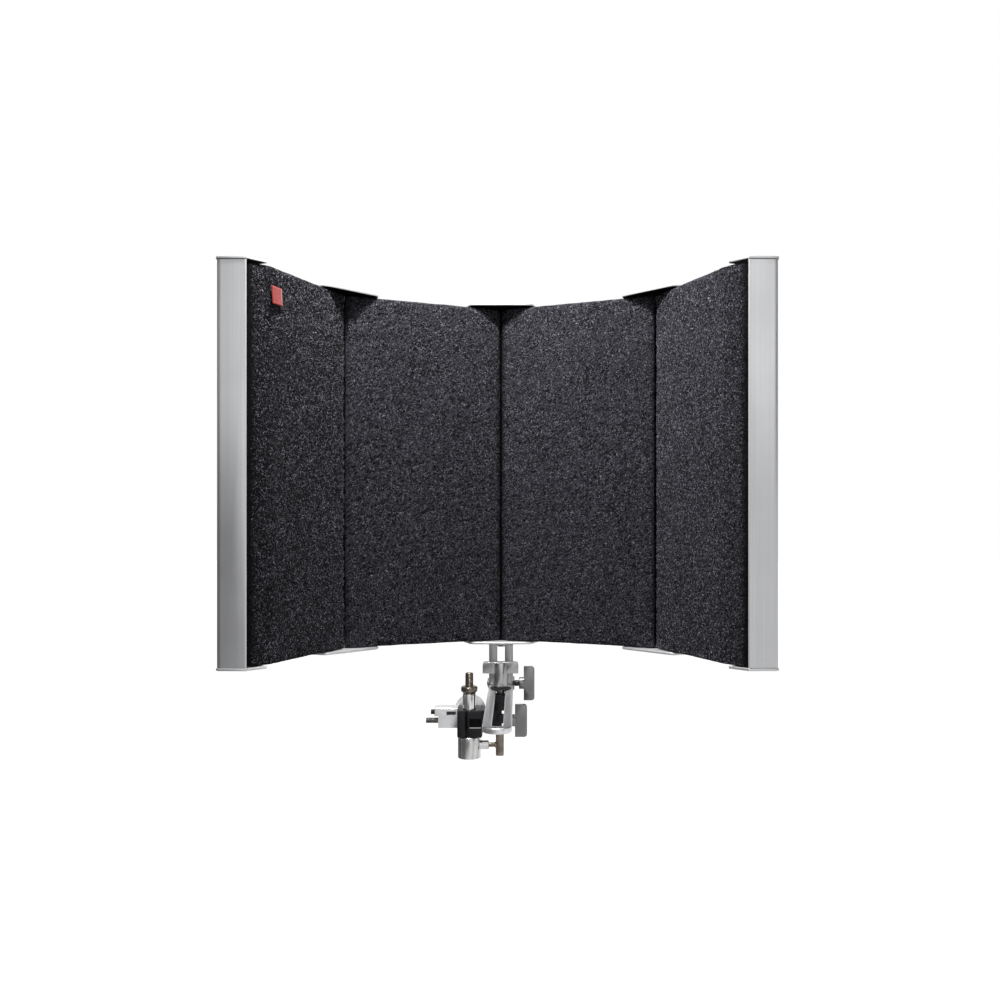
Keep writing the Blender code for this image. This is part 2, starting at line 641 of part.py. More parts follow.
boolean(socket, boss, "UNION")
cut = cylinder_cut("cut_lock", (22.0, 0, LOCK_Z), ALONG_X, PIN_HOLE_R, 26.0, root)
boolean(socket, cut, "DIFFERENCE")
smooth(socket)
profile = [(0.0, 33.0), (3.6, 33.0), (3.6, 31.0), (2.75, 31.0), (2.75, 8.5), (0.0, 8.5)]
mat = material("lock_screw", *NICKEL_LOOK)
lock = add("lock_screw", turned_mesh(profile, 16), LOCK_AT, ALONG_X, mat, root)
bm = box_mesh((-13.5, -2.6, 32.3), (13.5, 2.6, 42.0))
wing = add("wing_lock_screw", bm, LOCK_AT, ALONG_X, None, root, True)
bevel(wing, 1.5, 2)
boolean(lock, wing, "UNION")
smooth(lock)
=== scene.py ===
"""Looks of the microphone isolation shield: felt pads, perforated backs, metals, light and camera.

Everything is in metres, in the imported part's own frame. MM turns the sizes written here into metres.
"""

import json
import math

import bmesh
import bpy
import numpy as np
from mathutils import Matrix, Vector


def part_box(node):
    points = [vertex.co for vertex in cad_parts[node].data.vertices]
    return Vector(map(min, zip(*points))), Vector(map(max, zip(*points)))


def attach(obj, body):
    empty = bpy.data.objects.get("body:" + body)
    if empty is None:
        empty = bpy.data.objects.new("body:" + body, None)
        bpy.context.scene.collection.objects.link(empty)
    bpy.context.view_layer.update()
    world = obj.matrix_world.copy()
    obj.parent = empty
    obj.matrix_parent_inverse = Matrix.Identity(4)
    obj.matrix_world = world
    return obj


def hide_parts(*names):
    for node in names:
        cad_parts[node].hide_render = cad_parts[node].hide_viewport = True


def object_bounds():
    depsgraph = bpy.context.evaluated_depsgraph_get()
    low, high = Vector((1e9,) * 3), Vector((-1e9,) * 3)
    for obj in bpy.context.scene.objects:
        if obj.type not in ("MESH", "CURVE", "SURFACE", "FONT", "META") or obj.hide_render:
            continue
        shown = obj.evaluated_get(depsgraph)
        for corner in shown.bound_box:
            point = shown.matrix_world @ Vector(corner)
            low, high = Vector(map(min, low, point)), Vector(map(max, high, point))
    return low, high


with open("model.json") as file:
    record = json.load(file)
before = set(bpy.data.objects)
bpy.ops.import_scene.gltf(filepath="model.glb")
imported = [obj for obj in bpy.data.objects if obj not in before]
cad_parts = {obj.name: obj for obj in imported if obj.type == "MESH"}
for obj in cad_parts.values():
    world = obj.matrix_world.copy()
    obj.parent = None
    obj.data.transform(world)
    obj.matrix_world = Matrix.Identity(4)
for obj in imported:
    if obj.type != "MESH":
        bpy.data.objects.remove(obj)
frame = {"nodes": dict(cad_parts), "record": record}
cad_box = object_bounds()
nodes = frame["nodes"]

MM = 0.001
RNG = np.random.default_rng(11)
MIC_SPOT = np.array((38.0 * MM, -60.0 * MM, 0.0))      # where a microphone's capsule would be
PANELS = ("left_outer", "left_inner", "right_inner", "right_outer")
CORNERS = ("left", "centre", "right")
RAILS = ("left_end", "right_end")
SLOTS = {row["node"]: row["material_slot"] for row in frame["record"]["subparts"]}

# Felt: colours, and how light each panel is, a painted shade: the left outer panel's felt is darkened for
# the shade it lies in
FELT_DARK = (0.004, 0.004, 0.005)
FELT_LIGHT = (0.135, 0.131, 0.158)
FELT_PAINTED_SHADE = {"left_outer": 0.4, "left_inner": 1.0, "right_inner": 1.0, "right_outer": 1.0}
PAD_VOXEL = 2.6 * MM
PAD_LUMP = 0.35 * MM
PAD_ROUNDS = 16
WOOL_VOXEL = 3.2 * MM
WOOL_ROUNDS = 5
LUMP_WAVES = (14, 18, 23, 30, 41, 60)      # millimetres
LUMPS = [(RNG.normal(size=3) * 2 * math.pi / (wave * MM), RNG.uniform(0, 6.28)) for wave in LUMP_WAVES]

# Loose fibres on the felt
FIBRES_PER_M2 = 800000
FIBRE_LENGTH = (1.0 * MM, 2.8 * MM)
FIBRE_WIDTH = (0.12 * MM, 0.30 * MM)
FIBRE_LIFT = 0.9 * MM
FIBRE_ROOT = 0.05 * MM
FIBRE_FALLOFF = 3.2      # most fibres are dark and a few are light
FIBRE_CURL = 0.35
FIBRE_FACING = 0.3       # fibres lie only on faces that look this far towards the microphone
FIBRE_END_GAP = 1.5 * MM
SPINDLE = np.array([(0, 2, 3), (1, 3, 2), (0, 1, 2), (1, 0, 3)])

# Felt shading: noise scales are cycles per metre, turns are in radians
FLECK_SCALE = (330.0, 1500.0, 1500.0)
FLECK_TURNS = ((0.2, 0.4, 0.3), (0.5, 1.3, 1.0), (1.1, 2.2, 0.4), (0.8, -0.6, 1.5))
GRIT_SCALE = 900.0
COMB_SCALE = (55.0, 480.0, 480.0)
COMB_TURN = (0.0, -0.5, 0.0)

# Painted shade where the felt turns into a joint: its colour gets dark there (fully dark within, clear
# beyond)
SEAM_SHADE = (3.0 * MM, 13.0 * MM)
RAIL_SHADE = (3.0 * MM, 15.0 * MM)
SHADE_FLOOR = 0.05
SUNK_DEPTH = 22.0 * MM     # painted shade: how far from its tip the front of a corner pillar, where it lies between two panels, is turned black
SEAM_FRONT = (2.4 * MM, 6.0 * MM)      # reach towards the microphone and half width of a seam strip of painted shade
SEAM_REAR = (0.4 * MM, 6.4 * MM)

# Perforated back sheets
HOLE_PITCH = 9.0 * MM
HOLE_RADIUS = 3.0 * MM
SHEET_MARGIN = 14.0 * MM
HOLE_SIDES = 16

# Threads
THREAD_PITCH = 1.5 * MM
THREAD_DEPTH = 0.3 * MM
THREAD_ROOT = 0.1 * MM       # how far the ridge's foot lies inside its rod
THREAD_FOOT = 0.45           # half the ridge's foot, as a share of the pitch
THREAD_STEPS = 20
STUD_R = 4.75 * MM
CLAMP_ROD_R = 3.2 * MM
MIC_THREAD = (16.0 * MM, 1.6 * MM)       # start and end below the stud's top
CLAMP_THREAD = (0.8 * MM, 16.0 * MM)     # start and end from the rod's free end

# Painted highlight on the broken edge of the end rails: a white strip standing for its glint
EDGE_HEADING = 0.36          # radians from straight ahead
EDGE_WIDTH = 1.6 * MM
EDGE_DEPTH = 0.6 * MM
EDGE_PROUD = 0.35 * MM

# Bevel of each hard material in millimetres
BEVELS = {
    "brushed_pillar": 0.5, "satin_cap": 0.6, "screw_steel": 0.25, "fork_alloy": 0.5, "arm_alloy": 0.4,
    "knob_alloy": 0.7, "black_rubber": 0.25, "black_cast": 0.4, "chrome_post": 0.2, "satin_socket": 0.3,
    "dark_nickel": 0.3, "black_rod": 0.3,
}
BEVEL_ANGLE = math.radians(34)
WELD_GAP = 0.01 * MM

# Small parts: sleeve of the tilt knob, window of the fixed jaw (x and z) with painted shade and a painted
# highlight, slot of the jaw carrier with painted shade
SLEEVE_R = (2.9 * MM, 3.7 * MM)
SLEEVE_STEPS = 28
SLEEVE_GAP = 0.2 * MM
HUB_LENGTH = 19.6 * MM
WINDOW_X = (0.9 * MM, 14.7 * MM)
WINDOW_Z = (-64.9 * MM, -53.7 * MM)
WINDOW_DEPTH = 3.3 * MM
WINDOW_EDGE = (0.2 * MM, 2.6 * MM, 0.7 * MM)      # painted highlight strip: set back, deep, high
SLOT_X = (14.8 * MM, 26.1 * MM)                   # from the carrier's left end
SLOT_DROP = (8.4 * MM, 4.2 * MM)                  # from the carrier's top
SLOT_DEPTH = 4.3 * MM
PLATE_T = 0.1 * MM
HEX_R = 1.5 * MM
HEX_T = 0.5 * MM
HEX_SUNK = 0.22 * MM

# Fabric tag
TAG_STEPS = (8, 12)
TAG_FILL = (0.94, 0.96)      # share of the CAD tag's half width and half height
TAG_PROUD = (0.5 * MM, 1.4 * MM, 0.25 * MM)      # at the stitched edge, added at the free edge, crown
TAG_THICK = 0.6 * MM

# Studio: brightness at each heading as glossy surfaces see it
WORLD_AMBIENT = 0.10
WORLD_BRIGHT = 0.85
# dark upright cards: heading from the camera side in radians, half width, brightness left
DARK_CARDS = ((0.78, 0.24, 0.04), (1.80, 0.30, 0.10), (-1.05, 0.42, 0.30), (-1.90, 0.30, 0.08))
FRONT_LEVEL = 0.71
FRONT_SIDE = 0.44
FRONT_RISE = 1.05
FRONT_TWIST = 2.6
FRONT_LEAST = 0.12
FLOOR_SIZE = 40.0
FLOOR_DROP = 0.6
FLOOR_GLOW = 0.9
FLOOR_SHEEN = (0.05, 0.70)
FLOOR_REACH = 0.55

# Lights: place, aim, size in metres, watts
LIGHTS = {
    "key": ((-0.05, -0.22, 0.92), (0.03, -0.02, 0.2), 0.12, 9.0),
    "fill": ((0.3, -2.2, 0.9), (0.0, 0.0, 0.15), 1.6, 2.0),
}

# Camera
CAMERA_SPOT = (58.0 * MM, -1152.0 * MM, 184.2 * MM)
CAMERA_LENS = 34.13
CAMERA_SHIFT = (-0.017, 0.021)


# ---------------------------------------------------------------- node helpers

class Shader:
    """A small wrapper that adds and links shader nodes."""

    def __init__(self, name, tree=None):
        self.mat = None
        if tree is None:
            self.mat = bpy.data.materials.new(name)
            self.mat.use_nodes = True
            tree = self.mat.node_tree
        self.tree = tree
        self.bsdf = tree.nodes.get("Principled BSDF")

    def new(self, kind, **values):
        node = self.tree.nodes.new(kind)
        for key, value in values.items():
            setattr(node, key, value)
        return node

    def put(self, target, value):
        if isinstance(value, bpy.types.NodeSocket):
            self.tree.links.new(value, target)
        else:
            target.default_value = value

    def coords(self, scale, rotation=(0.0, 0.0, 0.0)):
        place = self.new("ShaderNodeTexCoord")
        # a texture mapping turns first and divides by its scale after, so the grain follows the turn
        mapping = self.new("ShaderNodeMapping", vector_type="TEXTURE")
        self.tree.links.new(place.outputs["Object"], mapping.inputs["Vector"])
        mapping.inputs["Scale"].default_value = [1.0 / size for size in scale]
        mapping.inputs["Rotation"].default_value = rotation
        return mapping.outputs["Vector"]

    def noise(self, scale, detail=3.0, rotation=(0.0, 0.0, 0.0), rough=0.55):
        tex = self.new("ShaderNodeTexNoise")
        size = scale if isinstance(scale, tuple) else (scale,) * 3
        self.put(tex.inputs["Vector"], self.coords(size, rotation))
        tex.inputs["Scale"].default_value = 1.0
        tex.inputs["Detail"].default_value = detail
        tex.inputs["Roughness"].default_value = rough
        return tex.outputs["Fac"]

    def span(self, value, low, high, to_low, to_high):
        node = self.new("ShaderNodeMapRange")
        self.put(node.inputs["Value"], value)
        for key, number in (("From Min", low), ("From Max", high), ("To Min", to_low), ("To Max", to_high)):
            node.inputs[key].default_value = number
        return node.outputs["Result"]

    def math(self, operation, a, b=0.0):
        node = self.new("ShaderNodeMath", operation=operation)
        self.put(node.inputs[0], a)
        self.put(node.inputs[1], b)
        return node.outputs[0]

    def mix(self, factor, a, b):
        node = self.new("ShaderNodeMix", data_type="RGBA")
        self.put(node.inputs[0], factor)
        self.put(node.inputs[6], a if isinstance(a, bpy.types.NodeSocket) else (*a, 1.0))
        self.put(node.inputs[7], b if isinstance(b, bpy.types.NodeSocket) else (*b, 1.0))
        return node.outputs[2]

    def bump(self, height, distance, strength=1.0, after=None):
        node = self.new("ShaderNodeBump")
        self.put(node.inputs["Height"], height)
        node.inputs["Distance"].default_value = distance
        node.inputs["Strength"].default_value = strength
        if after is not None:
            self.put(node.inputs["Normal"], after)
        return node.outputs["Normal"]

    def surface(self, **values):
        for key, value in values.items():
            socket = self.bsdf.inputs[key.replace("_", " ")]
            if isinstance(value, tuple) and len(value) == 3 and socket.type == "RGBA":
                value = (*value, 1.0)
            self.put(socket, value)
        return self.mat


# ------------------------------------------------------------------- materials

def felt_material(name, dark, light, jointed=False):
    """Wool felt: light flecks and grit over a nearly black mat, combed slightly one way.

    A jointed felt carries a vertex attribute, clear, that darkens it beside its joints: painted shade for
    the shadow where the felt folds into a joint.
    """
    s = Shader(name)
    flecks = None
    for turn in FLECK_TURNS:
        lines = s.span(s.noise(FLECK_SCALE, 1.0, turn), 0.58, 0.70, 0.0, 1.0)
        flecks = lines if flecks is None else s.math("MAXIMUM", flecks, lines)
    grit = s.span(s.noise(GRIT_SCALE, 2.0, rough=0.7), 0.48, 0.58, 0.0, 1.0)
    combed = s.span(s.noise(COMB_SCALE, 2.0, COMB_TURN), 0.38, 0.62, 0.15, 1.50)
    broad = s.span(s.noise(22.0, 3.0), 0.35, 0.65, 0.9, 1.1)
    grain = s.math("MULTIPLY", s.math("ADD", s.math("MULTIPLY", flecks, 0.55), grit), combed)
    grain = s.math("MULTIPLY", grain, broad)
    if jointed:
        # painted shade: beside a joint the light grain fades to the dark mat
        clear = s.new("ShaderNodeAttribute", attribute_name="clear").outputs["Fac"]
        grain = s.math("MULTIPLY", grain, clear)
    normal = s.bump(grit, 0.7 * MM, 0.9)
    normal = s.bump(flecks, 0.4 * MM, 0.6, normal)
    return s.surface(Base_Color=s.mix(grain, dark, light), Roughness=0.95, Normal=normal,
                     Specular_IOR_Level=0.12)


def fibre_material():
    s = Shader("felt_fibres")
    shade = s.new("ShaderNodeAttribute", attribute_name="shade").outputs["Fac"]
    colour = s.mix(shade, (0.003, 0.003, 0.004), (0.60, 0.59, 0.68))
    return s.surface(Base_Color=colour, Roughness=0.8, Specular_IOR_Level=0.2)


def brushed_material(name, colour, rough, grain, wear=0.1, metal=1.0):
    """Brushed metal: grain is the noise scale per axis, low along the brush direction."""
    s = Shader(name)
    lines = s.noise(grain, 3.0, rough=0.7)
    long_lines = s.noise(tuple(g * 0.22 for g in grain), 2.0)
    smear = s.noise(14.0, 4.0)
    dull = tuple(c * 0.80 for c in colour)
    streak = s.math("ADD", s.span(lines, 0.3, 0.7, 0.0, 0.6), s.span(long_lines, 0.3, 0.7, 0.0, 0.4))
    base = s.mix(streak, dull, colour)
    even = s.span(lines, 0.3, 0.7, rough - 0.05, rough + 0.07)
    gloss = s.math("ADD", even, s.span(smear, 0.4, 0.7, 0.0, wear))
    normal = s.bump(lines, 0.03 * MM, 0.35)
    return s.surface(Base_Color=base, Metallic=metal, Roughness=gloss, Normal=normal)


def dark_underside_cap_material(name, source):
    """The satin cap, near black and matte on its faces that look down."""
    mat = source.copy()
    mat.name = name
    s = Shader(name, mat.node_tree)
    split = s.new("ShaderNodeSeparateXYZ")
    s.put(split.inputs[0], s.new("ShaderNodeNewGeometry").outputs["True Normal"])
    under = s.span(split.outputs["Z"], -0.7, -0.9, 0.0, 1.0)
    satin = s.bsdf.inputs["Base Color"].links[0].from_socket
    s.put(s.bsdf.inputs["Base Color"], s.mix(under, satin, (0.004, 0.004, 0.005)))
    s.put(s.bsdf.inputs["Metallic"], s.span(under, 0.0, 1.0, 0.55, 0.0))
    s.put(s.bsdf.inputs["Specular IOR Level"], s.span(under, 0.0, 1.0, 0.5, 0.05))
    return mat


def pillar_shade_material(name, source, tip):
    """The brushed pillar with painted shade: black where its front lies between two panels, for the shadow
    in that gap.
    """
    mat = source.copy()
    mat.name = name
    s = Shader(name, mat.node_tree)
    place = s.new("ShaderNodeSeparateXYZ")
    s.put(place.inputs[0], s.new("ShaderNodeTexCoord").outputs["Object"])
    away = [s.math("POWER", s.math("SUBTRACT", place.outputs[axis], float(at)), 2.0)
            for axis, at in zip("XY", tip)]
    reach = s.math("SQRT", s.math("ADD", *away))
    # painted shade: the pillar's front near its tip turns black
    sunk = s.span(reach, SUNK_DEPTH, SUNK_DEPTH + 1.0 * MM, 1.0, 0.0)
    brushed = s.bsdf.inputs["Base Color"].links[0].from_socket
    s.put(s.bsdf.inputs["Base Color"], s.mix(sunk, brushed, (0.002, 0.002, 0.002)))
    s.put(s.bsdf.inputs["Metallic"], s.span(sunk, 0.0, 1.0, 1.0, 0.0))
    s.put(s.bsdf.inputs["Specular IOR Level"], s.span(sunk, 0.0, 1.0, 0.5, 0.0))
    return mat


def cast_material(name, colour, rough):
    """Black powder coat with a fine pebble and patches of dust."""
    s = Shader(name)
    pebble = s.noise(2600.0, 2.0)
    dust = s.noise(90.0, 5.0)
    base = s.mix(s.span(dust, 0.5, 0.8, 0.0, 0.5), colour, tuple(c * 2.2 + 0.01 for c in colour))
    gloss = s.span(dust, 0.3, 0.7, rough - 0.08, rough + 0.12)
    normal = s.bump(pebble, 0.08 * MM, 0.5)
    return s.surface(Base_Color=base, Roughness=gloss, Normal=normal, Specular_IOR_Level=0.3)


def rubber_material():
    s = Shader("black_rubber")
    fine = s.noise(1500.0, 3.0)
    base = s.mix(fine, (0.006, 0.006, 0.007), (0.02, 0.02, 0.021))
    gloss = s.span(fine, 0.3, 0.7, 0.5, 0.7)
    return s.surface(Base_Color=base, Roughness=gloss, Normal=s.bump(fine, 0.05 * MM, 0.4))


def plated_material(name, colour, rough, stain):
    """Polished plating with faint stains and hairline scratches."""
    s = Shader(name)
    cloud = s.noise(120.0, 5.0)
    hair = s.noise((300.0, 300.0, 5200.0), 2.0)
    tint = tuple(c * stain for c in colour)
    base = s.mix(s.span(cloud, 0.4, 0.75, 0.0, 1.0), colour, tint)
    gloss = s.math("ADD", s.span(cloud, 0.3, 0.7, rough, rough + 0.08), s.span(hair, 0.4, 0.7, 0.0, 0.05))
    return s.surface(Base_Color=base, Metallic=1.0, Roughness=gloss, Normal=s.bump(hair, 0.01 * MM, 0.3))


def post_material(shoulder):
    """Chrome post below the shoulder, dark nickel stud above it."""
    s = Shader("chrome_post")
    cloud = s.noise(120.0, 5.0)
    place = s.new("ShaderNodeSeparateXYZ")
    s.put(place.inputs[0], s.new("ShaderNodeTexCoord").outputs["Object"])
    stud = s.span(place.outputs["Z"], shoulder - 0.2 * MM, shoulder + 0.2 * MM, 0.0, 1.0)
    base = s.mix(stud, (0.80, 0.80, 0.79), (0.20, 0.175, 0.145))
    gloss = s.math("ADD", s.span(cloud, 0.3, 0.7, 0.08, 0.15), s.math("MULTIPLY", stud, 0.2))
    return s.surface(Base_Color=base, Metallic=1.0, Roughness=gloss)


def foil_material():
    s = Shader("crinkled_foil")
    crease = s.noise(160.0, 6.0, rough=0.75)
    gloss = s.span(crease, 0.3, 0.7, 0.18, 0.34)
    return s.surface(Base_Color=(0.78, 0.79, 0.8), Metallic=1.0, Roughness=gloss,
                     Normal=s.bump(crease, 0.6 * MM, 0.6))


def woven_material(name, dark, light):
    """Plain weave in Z and across it."""
    s = Shader(name)
    warp = s.noise((5200.0, 5200.0, 300.0), 1.0)
    weft = s.noise((300.0, 300.0, 5200.0), 1.0)
    weave = s.math("MAXIMUM", warp, weft)
    base = s.mix(s.span(weave, 0.45, 0.7, 0.0, 1.0), dark, light)
    return s.surface(Base_Color=base, Roughness=0.85, Normal=s.bump(weave, 0.25 * MM, 0.8), Sheen_Weight=0.2)


# Noise scales of brushed metal per axis, low along the brush direction
UP_GRAIN = (5200.0, 5200.0, 9.0)
ACROSS_GRAIN = (10.0, 3800.0, 3800.0)
DEEP_GRAIN = (3800.0, 10.0, 3800.0)
TURNED_GRAIN = (700.0, 700.0, 3200.0)
MATERIALS = {
    "foil": foil_material(),
    "wool_core": felt_material("wool_core", (0.07, 0.065, 0.06), (0.30, 0.28, 0.25)),
    "perforated_sheet": brushed_material("perforated_sheet", (0.62, 0.63, 0.65), 0.36, UP_GRAIN),
    "brushed_pillar": brushed_material("brushed_pillar", (0.66, 0.665, 0.68), 0.34, UP_GRAIN),
    "satin_cap": brushed_material("satin_cap", (0.97, 0.975, 0.98), 0.38, ACROSS_GRAIN, metal=0.55),
    "screw_steel": brushed_material("screw_steel", (0.42, 0.42, 0.43), 0.3, (900.0, 900.0, 900.0)),
    "fork_alloy": brushed_material("fork_alloy", (0.40, 0.40, 0.41), 0.42, UP_GRAIN),
    "arm_alloy": brushed_material("arm_alloy", (0.95, 0.955, 0.97), 0.36, DEEP_GRAIN),
    "knob_alloy": brushed_material("knob_alloy", (0.50, 0.50, 0.505), 0.27, TURNED_GRAIN),
    "black_rubber": rubber_material(),
    "black_cast": cast_material("black_cast", (0.008, 0.008, 0.010), 0.40),
    "black_rod": cast_material("black_rod", (0.02, 0.02, 0.02), 0.35),
    "chrome_post": post_material(-25.0 * MM),
    "satin_socket": plated_material("satin_socket", (0.66, 0.66, 0.655), 0.15, 0.9),
    "dark_nickel": plated_material("dark_nickel", (0.27, 0.235, 0.19), 0.25, 0.5),
    "red_tag": woven_material("red_tag", (0.20, 0.012, 0.01), (0.52, 0.04, 0.03)),
}


# --------------------------------------------------------------- mesh building

def mesh_object(name, verts, faces, mat, body, smooth=False):
    mesh = bpy.data.meshes.new(name)
    mesh.from_pydata([tuple(v) for v in verts], [], [tuple(f) for f in faces])
    mesh.materials.append(mat)
    if smooth:
        mesh.shade_smooth()
    obj = bpy.data.objects.new(name, mesh)
    bpy.context.scene.collection.objects.link(obj)
    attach(obj, body)
    return obj


def evaluated_copy(obj):
    bpy.context.view_layer.update()
    shown = obj.evaluated_get(bpy.context.evaluated_depsgraph_get())
    return bpy.data.meshes.new_from_object(shown)


def soft_copy(name, source, mat, voxel, lump, rounds):
    """The CAD solid as a soft pad: remeshed, its edges rounded, its faces gently uneven."""
    work = bpy.data.objects.new(name, nodes[source].data.copy())
    bpy.context.scene.collection.objects.link(work)
    remesh = work.modifiers.new("remesh", "REMESH")
    remesh.mode = "VOXEL"
    remesh.voxel_size = voxel
    soften = work.modifiers.new("soften", "SMOOTH")
    soften.factor = 0.5
    soften.iterations = rounds
    mesh = evaluated_copy(work)
    work.modifiers.clear()
    work.data = mesh
    co = np.empty(len(mesh.vertices) * 3)
    mesh.vertices.foreach_get("co", co)
    co = co.reshape(-1, 3)
    normal = np.empty(len(mesh.vertices) * 3)
    mesh.vertices.foreach_get("normal", normal)
    normal = normal.reshape(-1, 3)
    wave = sum(np.sin(co @ k + p) for k, p in LUMPS) / len(LUMPS)
    co += normal * (wave * lump)[:, None]
    mesh.vertices.foreach_set("co", co.ravel())
    mesh.materials.clear()
    mesh.materials.append(mat)
    mesh.shade_smooth()
    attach(work, "shield")
    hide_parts(source)
    return work


def fibres(name, pad, mat, facing):
    """Short closed spindles of wool lying on the pad's faces that look towards the point facing."""
    mesh = pad.data
    mesh.calc_loop_triangles()
    tri = np.empty(len(mesh.loop_triangles) * 3, int)
    mesh.loop_triangles.foreach_get("vertices", tri)
    tri = tri.reshape(-1, 3)
    co = np.empty(len(mesh.vertices) * 3)
    mesh.vertices.foreach_get("co", co)
    co = co.reshape(-1, 3)
    a, b, c = co[tri[:, 0]], co[tri[:, 1]], co[tri[:, 2]]
    cross = np.cross(b - a, c - a)
    area = np.linalg.norm(cross, axis=1) / 2
    unit = cross / np.maximum(area[:, None] * 2, 1e-12)
    look = facing - (a + b + c) / 3
    look[:, 2] = 0
    look /= np.linalg.norm(look, axis=1)[:, None]
    seen = (unit * look).sum(1) > FIBRE_FACING
    weight = np.where(seen, area, 0)
    count = int(weight.sum() * FIBRES_PER_M2)
    pick = RNG.choice(len(tri), count, p=weight / weight.sum())
    r1 = np.sqrt(RNG.random(count))[:, None]
    r2 = RNG.random(count)[:, None]
    start = a[pick] * (1 - r1) + b[pick] * r1 * (1 - r2) + c[pick] * r1 * r2
    up = unit[pick]
    way = RNG.normal(size=(count, 3))
    way -= (way * up).sum(1)[:, None] * up
    way /= np.linalg.norm(way, axis=1)[:, None]
    side = np.cross(up, way)
    length = RNG.uniform(*FIBRE_LENGTH, count)[:, None]
    width = RNG.uniform(*FIBRE_WIDTH, count)[:, None]
    curl = RNG.normal(0, FIBRE_CURL, count)[:, None]
    lift = RNG.uniform(0.1, 1.0, count)[:, None] * FIBRE_LIFT
    low, high = co[:, 2].min() + FIBRE_END_GAP, co[:, 2].max() - FIBRE_END_GAP
    half = way * length / 2
    middle = start + side * curl * length / 2 + up * lift
    wide = side * width / 2
    root = up * FIBRE_ROOT
    verts = np.stack([start - half + root, start + half + root, middle - wide, middle + wide], 1)
    keep = (verts[:, :, 2].min(1) > low) & (verts[:, :, 2].max(1) < high)
    verts = verts[keep]
    count = len(verts)
    faces = (SPINDLE[None] + np.arange(count)[:, None, None] * 4).reshape(-1, 3)
    obj = quick_mesh(name, verts.reshape(-1, 3), faces, mat)
    # fibres beside a joint take the same painted shade as the pad
    clear = np.empty(len(mesh.vertices))
    mesh.attributes["clear"].data.foreach_get("value", clear)
    clear = clear[tri[pick]].mean(1)[keep]
    shade = np.repeat(RNG.random(count) ** FIBRE_FALLOFF * clear, 4)
    layer = obj.data.attributes.new("shade", "FLOAT", "POINT")
    layer.data.foreach_set("value", shade)
    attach(obj, "shield")


def quick_mesh(name, verts, faces, mat):
    """A mesh object from numpy arrays of vertices and equal-sided faces."""
    mesh = bpy.data.meshes.new(name)
    mesh.vertices.add(len(verts))
    mesh.vertices.foreach_set("co", np.ascontiguousarray(verts, np.float32).ravel())
    mesh.loops.add(faces.size)
    mesh.loops.foreach_set("vertex_index", np.ascontiguousarray(faces, np.int32).ravel())
    mesh.polygons.add(len(faces))
    mesh.polygons.foreach_set("loop_start", np.arange(len(faces), dtype=np.int32) * faces.shape[1])
    mesh.update(calc_edges=True)
    mesh.materials.append(mat)
    obj = bpy.data.objects.new(name, mesh)
    bpy.context.scene.collection.objects.link(obj)
    return obj


def slab_frame(node):
    """(centre, along, across, half length, half thickness) of an upright slab, seen from above."""
    co = np.array([v.co for v in nodes[node].data.vertices])
    flat = co[:, :2] - (co[:, :2].min(0) + co[:, :2].max(0)) / 2
    _, turn = np.linalg.eigh(flat.T @ flat)
    along, across = turn[:, 1], turn[:, 0]
    centre = (co.min(0) + co.max(0)) / 2
    return centre, along, across, np.abs(flat @ along).max(), np.abs(flat @ across).max()


